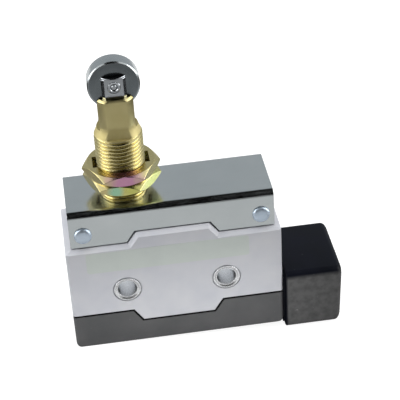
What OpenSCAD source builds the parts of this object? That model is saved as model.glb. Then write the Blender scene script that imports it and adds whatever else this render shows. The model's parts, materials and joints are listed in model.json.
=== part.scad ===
// Roller plunger limit switch, in millimetres, Z up.
// The origin is on the underside of the base, midway between the two mounting holes.
// X runs along the housing to the terminal boot, Y from the front face to the rear face.

/* [Housing] */
// Distance between the two mounting holes
hole_pitch = 25.4; // [24.8:0.1:26.4]
// Bore of the mounting eyelets
hole_d = 5.1; // [4.2:0.1:5.3]
// Height of the mounting holes above the underside of the base
hole_z = 16.8; // [16.4:0.1:17]
// Length of the base and the body
body_len = 54.4; // [53.6:0.1:57]
// Depth of the base and the body, front face to rear face
body_w = 21.3; // [21:0.1:23]
// Wall of the body at its front, rear and ends
wall = 2.1; // [1.8:0.1:2.3]
// Radius of the upright corners of the housing
corner_r = 0.8; // [0.4:0.1:1.4]
// Radius of the lower end edges of the base
foot_r = 1.5; // [0.8:0.1:2.5]
// Height of the parting line between base and body
part_z = 9.8; // [9.4:0.1:10.4]
// Depth of the body's tongue into the base
dip_h = 3.5; // [2:0.1:4]
// Width of that tongue at its lower edge
dip_w = 18.7; // [14:0.1:20]
// Sideways run of each sloping edge of the tongue and of the cover notches
slope_run = 2.3; // [1.5:0.1:3]
// Thickness of the packing in the parting line
packing_t = 0.6; // [0.4:0.05:0.7]
// Diameter of the eyelets' rims
eyelet_rim_d = 7.2; // [7:0.1:8]
// Diameter of the bevelled mouths of the eyelets at the front
eyelet_mouth_d = 6.4; // [6:0.1:6.4]
// Thickness of the eyelets' tube and rims
eyelet_t = 0.5; // [0.4:0.05:0.6]
// Height of the base's spigot inside the body, above the parting line
spigot_h = 2.2; // [1.6:0.1:2.8]
// Wall of the base's saddle beside the eyelets
saddle_wall = 1; // [0.8:0.1:1.2]
// Wall of that saddle over the eyelets
saddle_roof = 0.55; // [0.4:0.05:0.7]

/* [Cover] */
// Length of the folded cover
cover_len = 51.3; // [50.4:0.1:52.4]
// Width over the cover's flanges
cover_w = 18.8; // [18.4:0.1:19.2]
// Height of the cover's top face
cover_top = 40.4; // [40.2:0.1:42]
// Height of the cover's flanges
flange_h = 10.3; // [9.8:0.1:10.6]
// Sheet thickness of the cover
sheet_t = 1; // [0.8:0.1:1.2]
// Outer radius of the cover's bends
bend_r = 1.5; // [1.1:0.1:1.6]
// Height of the notch in each flange
notch_h = 3.1; // [2:0.1:3.6]
// Width of the notch at its top
notch_w = 18.3; // [14:0.1:20]
// Drop of the body's sloping ledge round the cover
ledge_drop = 0.8; // [0.4:0.1:1.2]
// Space between the edges of the cover's flanges and the body
edge_gap = 0.4; // [0.1:0.05:0.5]
// How far the body's core stays back from the cover's ends
core_gap = 0.3; // [0.2:0.1:0.6]
// Depth of the body's roof below the ledge
roof_t = 2.8; // [2.4:0.1:3]
// Thickness of the core over the mechanism
deck_t = 5.9; // [5.4:0.1:6.2]
// Wall of the core at its front and rear
core_wall = 1.9; // [1.6:0.1:2.2]
// Wall of the core beside its rivet holes
rivet_wall = 1.4; // [1:0.1:1.8]
// Distance of the cover's rivets from its ends
rivet_margin = 3.35; // [3:0.05:4]
// Height of the cover's rivets
rivet_z = 34; // [33.6:0.1:35]
// Shank diameter of the cover's rivets
rivet_d = 2.8; // [2:0.1:3]
// Diameter of the rivets' domed heads
rivet_head_d = 4.4; // [4:0.1:5]
// Height of the rivets' domed heads
rivet_head_h = 0.9; // [0.6:0.1:1]

/* [Bushing and nuts] */
// Place of the plunger's axis along the housing
plunger_x = -10.8; // [-11.6:0.1:-9]
// Outer diameter of the thread
thread_d = 12; // [12:0.1:12.6]
// Height of the thread above the cover
thread_h = 16.5; // [15.6:0.1:18]
// Height of the conical shoulder above the thread
shoulder_h = 2.8; // [2:0.1:3.2]
// Diameter of the slotted neck
neck_d = 10; // [9.6:0.1:10.6]
// Length of the neck above the shoulder
neck_h = 8.2; // [7.8:0.1:9.6]
// Distance across the neck's two flats
neck_flats = 8.6; // [8:0.1:9.2]
// Bevel at the neck's upper end
neck_bevel = 0.5; // [0.3:0.1:0.8]
// Width of the roller's slot in the neck
neck_slot_w = 5; // [4.8:0.1:5.4]
// Diameter of the bushing's flange under the cover
seat_d = 14.4; // [13.6:0.1:15]
// Thickness of that flange
seat_t = 2; // [1.4:0.1:2.2]
// Thickness of the rubber seal under that flange
seal_t = 1; // [0.8:0.1:1.2]
// How far the seal stays back from the flange's edge
seal_margin = 0.5; // [0.4:0.1:0.6]
// Distance across the flats of the lock nuts
nut_flats = 17; // [16:0.1:19]
// Thickness of each lock nut
nut_h = 2.7; // [2.5:0.1:3]
// Height of the bevel at a nut's corners
nut_bevel = 1.2; // [0.6:0.1:1.2]
// Height of the lower nut's underside above the cover
nut_lift = 3.2; // [2:0.1:5]
// Turn of the lower nut about its axis
nut_turn = -8.5; // [-25:0.5:25]
// Width of the notches in the nuts' bores
nut_notch_w = 4.9; // [4.2:0.1:5.5]
// Distance over the two notches of a nut
nut_notch_span = 14; // [13.2:0.1:14.6]

/* [Plunger and roller] */
// Diameter of the plunger
plunger_d = 7.6; // [7.2:0.1:7.7]
// Stroke of the plunger
stroke = 5; // [3:0.1:5.2]
// Height of the roller's axle above the top of the neck
axle_lift = 3; // [2.9:0.1:4]
// Diameter of the roller
roller_d = 12.7; // [12:0.1:12.9]
// Width of the roller
roller_w = 4.4; // [4.1:0.1:4.5]
// Space between the roller and the bottom of its slots
roller_gap = 0.4; // [0.3:0.1:0.6]
// Bevel at the roller's rim
roller_bevel = 0.4; // [0.2:0.05:0.6]
// Diameter of the roller's axle
axle_d = 3.1; // [2.6:0.1:3.2]
// Height of the fork's cheeks above the axle
cheek_h = 2.6; // [2.4:0.1:3]
// Distance across the flats on the fork's cheeks
cheek_flats = 6.2; // [6:0.1:6.6]
// Depth of the plunger's upper stop below the top of the thread
stop_depth = 4.9; // [4.6:0.1:5.2]
// Diameter of the plunger's collar under that stop
collar_d = 8.6; // [8.4:0.1:8.8]
// Thickness of that collar
collar_h = 2.1; // [1.6:0.1:2.4]
// Diameter of the hollow stem below the collar
stem_d = 5.8; // [5.4:0.1:6]
// Length of the hollow stem
stem_len = 6.8; // [6:0.1:7]
// Wire diameter of the return spring
return_wire = 0.7; // [0.5:0.05:0.75]
// Wire diameter of the overtravel spring
overtravel_wire = 0.5; // [0.4:0.05:0.6]
// Bore of the overtravel spring's well in the plunger
well_d = 4.4; // [4.2:0.1:4.5]
// Depth of that well
well_h = 15; // [14:0.1:16]
// Thickness of the return spring's seat ring
seat_ring_t = 1; // [0.8:0.1:1.2]
// Height of that ring above the bushing's lower end
seat_ring_lift = 1.4; // [1.2:0.1:1.6]
// Diameter of the push rod
rod_d = 3; // [2.4:0.1:3.2]
// Thickness of the push rod's head
rod_head_t = 1.5; // [1.2:0.1:1.8]
// How far the push rod reaches below the seal
rod_reach = 1.4; // [1.2:0.1:1.6]
// Thickness of the ring that keeps the push rod in the plunger
retainer_t = 1.2; // [1:0.1:1.4]

/* [Switch mechanism] */
// Diameter of the switch button
button_d = 4; // [3.6:0.1:4.6]
// Travel of the button over the plunger's stroke
button_travel = 0.45; // [0.3:0.05:0.5]
// Thickness of the moving blade
blade_t = 0.3; // [0.2:0.05:0.4]
// Width of the moving blade
blade_w = 7; // [6:0.1:8]
// Room at the housing's ends beyond the blade's pivot and the terminals' drops
end_room = 4.9; // [4.6:0.1:5.2]
// Height of the blade's shelf above the saddle
com_lift = 2.7; // [2.6:0.1:2.8]
// Width of the slots between the blade's leaves
leaf_slot_w = 0.5; // [0.4:0.1:0.6]
// Place of the contacts along the housing
contact_x = 5.5; // [4:0.1:6.5]
// Diameter of the contacts
contact_d = 3.2; // [2.6:0.1:3.8]
// Height of each contact's head
contact_h = 0.8; // [0.6:0.05:0.9]
// Shank diameter of the contacts
contact_shank_d = 1.6; // [1.2:0.1:1.8]
// Thickness of the terminal strips
strip_t = 0.6; // [0.5:0.05:0.7]
// Width of the terminal strips
strip_w = 4.4; // [4:0.1:4.6]
// Clearance of the terminal strips from the housing's walls
wall_gap = 0.55; // [0.4:0.05:0.8]

/* [Terminals and boot] */
// Width of the ribs between the terminals
rib_w = 0.8; // [0.6:0.1:1]
// Length of the terminal block beyond the body
block_len = 9; // [8.6:0.1:9.4]
// Margin of the terminal block beside the outer screws' heads
block_margin = 1; // [0.8:0.1:1.2]
// Height of the terminal block's underside
block_z = 0.3; // [0.2:0.1:0.6]
// Height of the terminal block's top
block_h = 7.2; // [6.6:0.1:7.6]
// Distance of the terminal screws from the end of the body
screw_reach = 5.8; // [5.4:0.1:6]
// How far the terminal screws' heads stand out round their shanks
screw_head_rim = 1.1; // [0.9:0.1:1.3]
// Length of the terminal screws' shanks
screw_len = 5; // [4:0.1:6]
// Height of the terminal screws' heads
screw_head_h = 1.7; // [1.4:0.1:2]
// Thickness of the terminal washers
washer_t = 0.5; // [0.4:0.1:0.7]
// Length of the boot beyond its neck
boot_len = 14.4; // [14:0.1:16]
// Wall of the boot at its front and rear
boot_side = 1.7; // [1.6:0.1:2]
// Height of the boot
boot_h = 17.5; // [17:0.1:18.5]
// How far the boot reaches below the underside of the base
boot_drop = 2.3; // [1.8:0.1:2.6]
// Wall of the boot at its end and top
boot_wall = 1.6; // [1.4:0.1:1.6]
// Length of the boot's recessed neck
boot_neck = 1; // [0.8:0.1:1.4]
// Depth of the recess round the boot's neck
neck_recess = 0.9; // [0.6:0.1:1]
// Radius of the boot's edges
boot_r = 1.6; // [0.8:0.1:2]
// Diameter of the cable hole in the boot's end
cable_d = 7.8; // [6:0.1:8.4]
// Height of the cable hole's axis above the terminal block
cable_lift = 1; // [0.6:0.1:1.6]

/* [Fits] */
// Radial clearance of running fits
run_gap = 0.05; // [0.03:0.01:0.08]
// Clearance between pieces that are assembled or slide past each other
fit_gap = 0.1; // [0.08:0.01:0.14]

/* [Hidden] */
$fn = 64;

// How far a cutting solid reaches past what it cuts
over = 1;

// Housing
body_end = body_len / 2;
face_y = body_w / 2;
inner_end = body_end - wall;
inner_y = face_y - wall;
dip_z = part_z - dip_h;
spigot_end = inner_end - fit_gap;
spigot_y = inner_y - fit_gap;
spigot_z = part_z + spigot_h;
eyelet_r = hole_d / 2 + eyelet_t;
saddle_end = hole_pitch / 2 + eyelet_r + fit_gap + saddle_wall;
saddle_z = hole_z + eyelet_r + fit_gap + saddle_roof;

// Cover and the body's core under it
flange_y = cover_w / 2;
sheet_z = cover_top - sheet_t;
ledge_z = cover_top - flange_h;
ledge_run = face_y - flange_y;
core_end = cover_len / 2 - core_gap;
rivet_pitch = cover_len - 2 * rivet_margin;
core_y = flange_y - sheet_t - fit_gap;
cavity_z = ledge_z - roof_t;
deck_z = sheet_z - deck_t;
hatch_end = (rivet_pitch - rivet_d) / 2 - rivet_wall;
hatch_y = core_y - core_wall;
tab_z = ledge_z + notch_h;

// Bushing, plunger and roller, from the cover upwards
seat_z = sheet_z - seat_t;
seal_z = seat_z - seal_t;
thread_top = cover_top + thread_h;
shoulder_top = thread_top + shoulder_h;
neck_top = shoulder_top + neck_h;
axle_z = neck_top + axle_lift;
fork_z = axle_z - roller_d / 2 - roller_gap;
fork_w = roller_w + 3 * fit_gap;
neck_slot_z = axle_z - stroke - roller_d / 2 - roller_gap;
axle_half = cheek_flats / 2 + fit_gap;
guide_r = plunger_d / 2 + run_gap;
chamber_r = collar_d / 2 + fit_gap;
stop_z = thread_top - stop_depth;
collar_z = stop_z - run_gap - collar_h;
stem_z = collar_z - stem_len;
seat_ring_z = seat_z + seat_ring_lift;
well_top = stem_z + well_h;
rod_head_z = stem_z + retainer_t + run_gap;
rod_z = seal_z - rod_reach;

// Switch mechanism: the button presses the blade, which tips about its pivot
pivot_x = end_room - inner_end;
strip_z = saddle_z;
com_z = saddle_z + com_lift;
blade_z = com_z + strip_t + run_gap;
button_z = blade_z + blade_t + fit_gap;
button_top = rod_z - run_gap;
arm_of_button = plunger_x - pivot_x;
arm_of_contact = contact_x - pivot_x;
contact_travel = button_travel * arm_of_contact / arm_of_button;
no_top = blade_z - contact_h - contact_travel - run_gap;
nc_bottom = blade_z + blade_t + contact_h + run_gap;
nc_z = nc_bottom + contact_h;
contact_seat = contact_d / 2 + 10 * fit_gap;
blade_root = pivot_x - 2 * fit_gap;
blade_tip = contact_x + contact_d / 2 + 6 * fit_gap;

// Terminals and boot
drop_x = inner_end - end_room;
screw_x = body_end + screw_reach;
strip_tip = screw_x + strip_w / 2 + 2 * fit_gap;
block_end = body_end + block_len;
lane_pitch = inner_y - wall_gap - strip_w / 2;
lanes = [-lane_pitch, 0, lane_pitch];
screw_head_d = lane_pitch - rib_w - 2 * fit_gap;
screw_d = screw_head_d - 2 * screw_head_rim;
block_y = lane_pitch + screw_head_d / 2 + block_margin;
rib_h = washer_t + strip_t + screw_head_h;
boot_x0 = body_end + run_gap;
boot_x1 = boot_x0 + boot_neck;
boot_x2 = boot_x1 + boot_len;
boot_top = boot_h - boot_drop;
boot_room_y = block_y + fit_gap;
boot_y = boot_room_y + boot_side;
cable_z = block_h + cable_lift;

// Box from one corner to the opposite one
module box(a, b) {
    translate(a) cube(b - a);
}

// Prism along X of an outline in Y and Z
module along_x(x0, x1) {
    translate([x0, 0, 0]) rotate([90, 0, 90]) linear_extrude(x1 - x0) children();
}

// Prism along Y of an outline in X and Z
module along_y(y0, y1) {
    translate([0, y1, 0]) rotate([90, 0, 0]) linear_extrude(y1 - y0) children();
}

// Cylinder along Y
module rod_y(d, y0, y1) {
    translate([0, y1, 0]) rotate([90, 0, 0]) cylinder(h = y1 - y0, d = d);
}

// Rectangle with round corners, about the origin
module rounded_rect(l, w, r) {
    square([l - 2 * r, w], center = true);
    square([l, w - 2 * r], center = true);
    for (x = [-1, 1], y = [-1, 1])
        translate([x * (l / 2 - r), y * (w / 2 - r)]) circle(r);
}

// Block with all its edges rounded, between two corners
module soft_box(a, b, r) {
    size = b - a;
    middle = (a + b) / 2;
    translate(middle) intersection() {
        translate([0, 0, -size[2] / 2]) linear_extrude(size[2]) rounded_rect(size[0], size[1], r);
        along_x(-size[0] / 2, size[0] / 2) rounded_rect(size[1], size[2], r);
        along_y(-size[1] / 2, size[1] / 2) rounded_rect(size[0], size[2], r);
    }
}

// Both mounting holes' places
module at_holes() {
    for (side = [-1, 1]) translate([side * hole_pitch / 2, 0, hole_z]) children();
}

// Both cover rivets' places
module at_rivets() {
    for (side = [-1, 1]) translate([side * rivet_pitch / 2, 0, rivet_z]) children();
}

// The parting line in X and Z, raised by rise
function parting(rise) =
    let (
        slope = sqrt(slope_run * slope_run + dip_h * dip_h),
        foot = dip_w / 2 - rise * (slope - slope_run) / dip_h)
    [
        [-body_end - over, part_z + rise],
        [-foot - slope_run, part_z + rise],
        [-foot, dip_z + rise],
        [foot, dip_z + rise],
        [foot + slope_run, part_z + rise],
        [body_end + over, part_z + rise]];

// Everything below or above the parting line, as an outline
module below_parting(rise) {
    polygon(concat(parting(rise), [[body_end + over, -over], [-body_end - over, -over]]));
}
module above_parting(rise) {
    polygon(concat(parting(rise), [[body_end + over, cover_top], [-body_end - over, cover_top]]));
}

// The cover's notch as an outline, carried down by depth and widened by gap
module notch_outline(depth, gap) {
    run = slope_run / notch_h;
    top = notch_w / 2 + gap;
    foot = top + run * (notch_h + depth);
    polygon([[-foot, ledge_z - depth], [-top, tab_z + gap], [top, tab_z + gap], [foot, ledge_z - depth]]);
}

// What is cut off for the sloping ledge along an edge from p to q in X and Z, front and rear.
// The body lies on the right of the way from p to q.
module ledge_cut(p, q) {
    way = q - p;
    fall = ledge_drop / ledge_run;
    for (side = [0, 1])
        mirror([0, side, 0]) translate([p[0], 0, p[1]]) rotate([0, -atan2(way[1], way[0]), 0])
            along_x(-over, norm(way) + over) polygon([
                [-face_y - over, -ledge_drop - over * fall],
                [-flange_y + over, over * fall],
                [-face_y - over, over * fall]]);
}

// The same at the two ends of the body
module end_ledge_cut() {
    run = body_end - cover_len / 2;
    fall = ledge_drop / run;
    for (side = [0, 1])
        mirror([side, 0, 0]) along_y(-body_w, body_w) polygon([
            [-body_end - over, ledge_z - ledge_drop - over * fall],
            [-body_end + run + over, ledge_z + over * fall],
            [-body_end - over, ledge_z + over * fall]]);
}

// The body below the cover's flanges
module lower_body() {
    difference() {
        translate([0, 0, dip_z]) linear_extrude(ledge_z - dip_z) rounded_rect(body_len, body_w, corner_r);
        along_y(-body_w, body_w) below_parting(packing_t / 2);
        ledge_cut([-body_end, ledge_z], [body_end, ledge_z]);
        end_ledge_cut();
    }
}

// The tabs of the body that fill the cover's notches
module notch_tabs() {
    depth = 2;
    foot = notch_w / 2 + slope_run / notch_h * (notch_h + depth);
    difference() {
        along_y(-face_y, face_y) notch_outline(depth, 0);
        ledge_cut([-foot, ledge_z - depth], [-notch_w / 2, tab_z]);
        ledge_cut([-notch_w / 2, tab_z], [notch_w / 2, tab_z]);
        ledge_cut([notch_w / 2, tab_z], [foot, ledge_z - depth]);
    }
}

module body_shell() {
    rim_depth = eyelet_t + fit_gap;
    guide_d = button_d + 2 * run_gap;
    guide_wall = 1.6;
    color("#d4d4d3") difference() {
        union() {
            difference() {
                union() {
                    lower_body();
                    notch_tabs();
                    box([-core_end, -core_y, ledge_z - over], [core_end, core_y, sheet_z]);
                }
                box([-inner_end, -inner_y, 0], [inner_end, inner_y, cavity_z]);
                box([-hatch_end, -hatch_y, 0], [hatch_end, hatch_y, deck_z]);
            }
            translate([plunger_x, 0, cavity_z])
                cylinder(h = deck_z - cavity_z + over, d = button_d + 2 * guide_wall);
        }
        translate([plunger_x, 0, seat_z]) cylinder(h = seat_t + over, d = seat_d + 2 * fit_gap);
        translate([plunger_x, 0, seal_z]) cylinder(h = seal_t + over, d = seat_d - 2 * seal_margin);
        translate([plunger_x, 0, cavity_z - over]) cylinder(h = cover_top, d = guide_d);
        at_holes() rod_y(2 * (eyelet_r + fit_gap), -body_w, body_w);
        at_holes() for (side = [0, 1])
            mirror([0, side, 0]) rod_y(eyelet_rim_d + 2 * fit_gap, -body_w, -face_y + rim_depth);
        at_rivets() rod_y(rivet_d + 2 * run_gap, -body_w, body_w);
    }
}

module base_packing() {
    edge = 0.15;
    lower = parting(-packing_t / 2);
    upper = parting(packing_t / 2);
    color("#161616") intersection() {
        along_y(-body_w, body_w) polygon(concat(lower, [for (i = [len(upper) - 1:-1:0]) upper[i]]));
        difference() {
            linear_extrude(cover_top) rounded_rect(body_len - 2 * edge, body_w - 2 * edge, corner_r);
            box([-inner_end, -inner_y, -over], [inner_end, inner_y, cover_top + over]);
        }
    }
}

// Cut that rounds the lower end edges of the base
module foot_cut() {
    for (side = [0, 1])
        mirror([side, 0, 0]) along_y(-body_w, body_w) translate([-body_end, 0]) difference() {
            translate([-over, -over]) square(foot_r + over);
            translate([foot_r, foot_r]) circle(foot_r);
        }
}

module base() {
    post_gap = 1;
    post_y = blade_w / 2 + post_gap;
    block_edge = 0.6;
    block_root = 2;
    rib_start = 1.4;
    color("#3b3b3c") difference() {
        union() {
            difference() {
                linear_extrude(part_z) rounded_rect(body_len, body_w, corner_r);
                along_y(-body_w, body_w) above_parting(-packing_t / 2);
                foot_cut();
            }
            box([-spigot_end, -spigot_y, over], [spigot_end, spigot_y, spigot_z]);
            box([-saddle_end, -spigot_y, over], [saddle_end, spigot_y, saddle_z]);
            box([wall_gap - spigot_end, -post_y, over], [-saddle_end - post_gap, post_y, com_z]);
            soft_box([body_end - block_root, -block_y, block_z], [block_end, block_y, block_h], block_edge);
            for (side = [-1, 1]) translate([0, side * lane_pitch / 2, 0])
                box([body_end + rib_start, -rib_w / 2, block_h - over],
                    [block_end, rib_w / 2, block_h + rib_h]);
        }
        at_holes() rod_y(2 * (eyelet_r + fit_gap), -body_w, body_w);
        box([drop_x - wall_gap, -spigot_y, block_h], [spigot_end, spigot_y, spigot_z + over]);
        for (y = lanes) translate([0, y, 0]) {
            box([spigot_end - over, -strip_w / 2 - fit_gap, block_h],
                [body_end + over, strip_w / 2 + fit_gap, block_h + strip_t + fit_gap]);
            translate([screw_x, 0, block_h - screw_len])
                cylinder(h = screw_len + over, d = screw_d + 2 * run_gap);
        }
    }
}

module top_cover() {
    bend_y = flange_y - bend_r;
    bend_z = cover_top - bend_r;
    half = cover_len / 2;
    edge_z = ledge_z + edge_gap;
    color("#a9b0b2") difference() {
        along_x(-half, half) difference() {
            union() {
                translate([-bend_y, edge_z]) square([2 * bend_y, cover_top - edge_z]);
                translate([-flange_y, edge_z]) square([cover_w, bend_z - edge_z]);
                for (side = [-1, 1]) translate([side * bend_y, bend_z]) circle(bend_r);
            }
            translate([-flange_y + sheet_t, ledge_z - over])
                square([cover_w - 2 * sheet_t, flange_h - sheet_t + over]);
        }
        along_y(-body_w, body_w) notch_outline(over, edge_gap);
        translate([plunger_x, 0, sheet_z - over])
            cylinder(h = sheet_t + 2 * over, d = thread_d + 2 * fit_gap);
        at_rivets() rod_y(rivet_d + 2 * run_gap, -body_w, body_w);
    }
}

// Domed rivet head on the front flange
module rivet_head() {
    r = rivet_head_d / 2;
    dome_r = (r * r + rivet_head_h * rivet_head_h) / (2 * rivet_head_h);
    intersection() {
        translate([0, -flange_y - rivet_head_h + dome_r, 0]) sphere(dome_r);
        rod_y(rivet_head_d, -flange_y - rivet_head_h - over, -flange_y);
    }
}

module cover_rivets() {
    color("#c8d0d8") at_rivets() {
        rod_y(rivet_d, -flange_y, flange_y);
        rivet_head();
        mirror([0, 1, 0]) rivet_head();
    }
}

module mounting_eyelets() {
    rim_r = eyelet_rim_d / 2;
    bore_r = hole_d / 2;
    inner = face_y - eyelet_t;
    roll = eyelet_t * 0.4;
    color("#b9bcbe") at_holes() rotate([90, 0, 0]) rotate_extrude() polygon([
        [bore_r, -face_y], [rim_r - roll, -face_y], [rim_r, -face_y + roll], [rim_r, -inner],
        [eyelet_r, -inner], [eyelet_r, inner], [rim_r, inner], [rim_r, face_y - roll],
        [rim_r - roll, face_y], [eyelet_mouth_d / 2, face_y], [bore_r, inner]]);
}

module bushing() {
    neck_r = neck_d / 2;
    thread_r = thread_d / 2;
    flats_share = 0.2;
    flats_z = thread_top + flats_share * shoulder_h;
    color("#b5a55c") translate([plunger_x, 0, 0]) difference() {
        rotate_extrude() polygon([
            [chamber_r, seat_z], [seat_d / 2, seat_z], [seat_d / 2, sheet_z], [thread_r, sheet_z],
            [thread_r, thread_top], [neck_r, shoulder_top], [neck_r, neck_top - neck_bevel],
            [neck_r - neck_bevel, neck_top], [guide_r, neck_top], [guide_r, stop_z], [chamber_r, stop_z]]);
        for (side = [0, 1]) mirror([0, side, 0])
            box([-thread_d, -thread_d, flats_z], [thread_d, -neck_flats / 2, neck_top + over]);
        box([-thread_d, -neck_slot_w / 2, neck_slot_z], [thread_d, neck_slot_w / 2, neck_top + over]);
    }
}

// Thin hexagon nut on the thread, with both faces bevelled and two notches in its bore
module lock_nut(z, turn) {
    corner = nut_flats / sqrt(3);
    face_r = nut_flats / 2 - fit_gap;
    notch = [nut_notch_span, nut_notch_w, nut_h + 2 * over];
    translate([plunger_x, 0, z]) rotate([0, 0, turn]) difference() {
        intersection() {
            cylinder(h = nut_h, r = corner, $fn = 6);
            rotate_extrude() polygon([
                [0, 0], [face_r, 0], [corner, nut_bevel], [corner, nut_h - nut_bevel],
                [face_r, nut_h], [0, nut_h]]);
        }
        translate([0, 0, -over]) cylinder(h = nut_h + 2 * over, d = thread_d + 2 * run_gap);
        box([-notch[0] / 2, -notch[1] / 2, -over], [notch[0] / 2, notch[1] / 2, notch[2] - over]);
    }
}

module lower_lock_nut() {
    color("#a9b06a") lock_nut(cover_top + nut_lift, nut_turn);
}

module upper_lock_nut() {
    color("#b39a78") lock_nut(cover_top + nut_lift + nut_h, 0);
}

module plunger() {
    r = plunger_d / 2;
    top = axle_z + cheek_h;
    edge = 0.45;
    color("#a7abaf") translate([plunger_x, 0, 0]) difference() {
        rotate_extrude() polygon([
            [well_d / 2, stem_z], [stem_d / 2, stem_z], [stem_d / 2, collar_z], [collar_d / 2, collar_z],
            [collar_d / 2, collar_z + collar_h], [r, collar_z + collar_h], [r, top - edge], [r - edge, top],
            [0, top], [0, well_top], [well_d / 2, well_top]]);
        box([-plunger_d, -fork_w / 2, fork_z], [plunger_d, fork_w / 2, top + over]);
        for (side = [0, 1]) mirror([0, side, 0])
            box([-plunger_d, -plunger_d, fork_z + roller_gap], [plunger_d, -cheek_flats / 2, top + over]);
        translate([0, 0, axle_z]) rod_y(axle_d + run_gap / 2, -plunger_d, plunger_d);
    }
}

module roller() {
    rim = roller_d / 2;
    bore_r = axle_d / 2 + run_gap;
    half = roller_w / 2;
    color("#8d9497") translate([plunger_x, 0, axle_z]) rotate([90, 0, 0]) rotate_extrude() polygon([
        [bore_r, -half], [rim - roller_bevel, -half], [rim, -half + roller_bevel],
        [rim, half - roller_bevel], [rim - roller_bevel, half], [bore_r, half]]);
}

module roller_axle() {
    dish = 0.25;
    r = axle_d / 2;
    floor_r = 0.55 * r;
    lip_r = 0.7 * r;
    edge_r = 0.9 * r;
    color("#c4c8cc") translate([plunger_x, 0, axle_z]) rotate([90, 0, 0]) rotate_extrude() polygon([
        [0, -axle_half + dish], [floor_r, -axle_half + dish], [lip_r, -axle_half], [edge_r, -axle_half],
        [r, -axle_half + fit_gap], [r, axle_half - fit_gap], [edge_r, axle_half], [lip_r, axle_half],
        [floor_r, axle_half - dish], [0, axle_half - dish]]);
}

// Height of a compression coil's centre line after t turns of turns, with one close turn at each end
function coil_z(t, turns, height, wire) =
    let (open = (height - 3 * wire) / (turns - 2))
    let (last = height - 2 * wire + (t - turns + 1) * wire)
    wire / 2 + (t < 1 ? t * wire : t < turns - 1 ? wire + (t - 1) * open : last);

// Compression coil spring standing on the XY plane
module coil_spring(radius, wire, height, turns) {
    sides = 6;
    steps_per_turn = 14;
    steps = turns * steps_per_turn;
    flatten = 0.98;
    points = [for (i = [0:steps], k = [0:sides - 1])
        let (t = i / steps_per_turn, b = 360 * k / sides, rr = radius + wire / 2 * cos(b))
        let (z = coil_z(t, turns, height, wire) + flatten * wire / 2 * sin(b))
        [rr * cos(360 * t), rr * sin(360 * t), z]];
    skin = [for (i = [0:steps - 1], k = [0:sides - 1])
        let (n = (k + 1) % sides)
        [i * sides + k, i * sides + n, (i + 1) * sides + n, (i + 1) * sides + k]];
    near_end = [for (k = [sides - 1:-1:0]) k];
    far_end = [for (k = [0:sides - 1]) steps * sides + k];
    polyhedron(points, concat(skin, [near_end, far_end]), convexity = 8);
}

module return_spring() {
    radius = (stem_d + collar_d) / 4;
    turns = 6;
    z = seat_ring_z + seat_ring_t;
    color("#8f969a") translate([plunger_x, 0, z + run_gap])
        coil_spring(radius, return_wire, collar_z - z - 2 * run_gap, turns);
}

module spring_seat() {
    color("#b8a45a") translate([plunger_x, 0, seat_ring_z]) difference() {
        cylinder(h = seat_ring_t, r = chamber_r - run_gap / 2);
        translate([0, 0, -over]) cylinder(h = seat_ring_t + 2 * over, d = stem_d + 4 * fit_gap);
    }
}

module overtravel_spring() {
    radius = (well_d - overtravel_wire) / 2 - 2 * fit_gap;
    turns = 8;
    z = rod_head_z + rod_head_t;
    color("#8f969a") translate([plunger_x, 0, z + run_gap])
        coil_spring(radius, overtravel_wire, well_top - z - 2 * run_gap, turns);
}

module push_rod() {
    head_r = well_d / 2 - fit_gap;
    tip = 0.4;
    r = rod_d / 2;
    head_top = rod_head_z + rod_head_t;
    color("#b0b4b6") translate([plunger_x, 0, 0]) rotate_extrude() polygon([
        [0, rod_z], [r - tip, rod_z], [r, rod_z + tip], [r, rod_head_z], [head_r, rod_head_z],
        [head_r, head_top], [0, head_top]]);
}

module rod_retainer() {
    color("#b8a45a") translate([plunger_x, 0, stem_z]) difference() {
        cylinder(h = retainer_t, d = well_d - run_gap);
        translate([0, 0, -over]) cylinder(h = retainer_t + 2 * over, d = rod_d + 2 * fit_gap);
    }
}

// Rubber washer under the bushing, thinned to a lip at the rod
module rod_seal() {
    lip_r = rod_d / 2 + run_gap;
    rim_r = seat_d / 2 - seal_margin - run_gap;
    web = 0.3 * seal_t;
    lip_h = 0.8 * seal_t;
    lip_t = 0.3;
    lip_root = 1;
    slope = 0.5;
    color("#2a2a2a") translate([plunger_x, 0, seal_z]) rotate_extrude() polygon([
        [lip_r, 0], [rim_r, 0], [rim_r, seal_t], [chamber_r, seal_t], [chamber_r - slope, web],
        [lip_r + lip_root, web], [lip_r + lip_t, lip_h], [lip_r, lip_h]]);
}

module switch_button() {
    r = button_d / 2;
    nose_r = r / 2;
    nose_h = 1.2;
    taper_h = 0.8;
    tip_h = 0.4;
    color("#8c2f24") translate([plunger_x, 0, 0]) rotate_extrude() polygon([
        [0, button_z], [nose_r * 0.6, button_z + tip_h * 0.3], [nose_r, button_z + tip_h],
        [nose_r, button_z + nose_h], [r, button_z + nose_h + taper_h], [r, button_top], [0, button_top]]);
}

// Three-leaf blade: two long slots leave a middle leaf between the outer ones
module moving_blade() {
    leaf = blade_w / 6;
    root_w = 0.75 * blade_w;
    root_len = 1;
    bridge = 2;
    slot_start = pivot_x + root_len + bridge;
    slot_end = contact_x - contact_d / 2 - bridge / 2;
    color("#c58a4a") translate([0, 0, blade_z]) linear_extrude(blade_t) difference() {
        union() {
            translate([blade_root, -root_w / 2]) square([blade_tip - blade_root, root_w]);
            translate([pivot_x + root_len, -blade_w / 2])
                square([blade_tip - pivot_x - root_len, blade_w]);
        }
        for (side = [-1, 1]) translate([slot_start, side * (leaf + leaf_slot_w / 2) - leaf_slot_w / 2])
            square([slot_end - slot_start, leaf_slot_w]);
        translate([contact_x, 0]) circle(d = contact_shank_d);
    }
}

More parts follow.
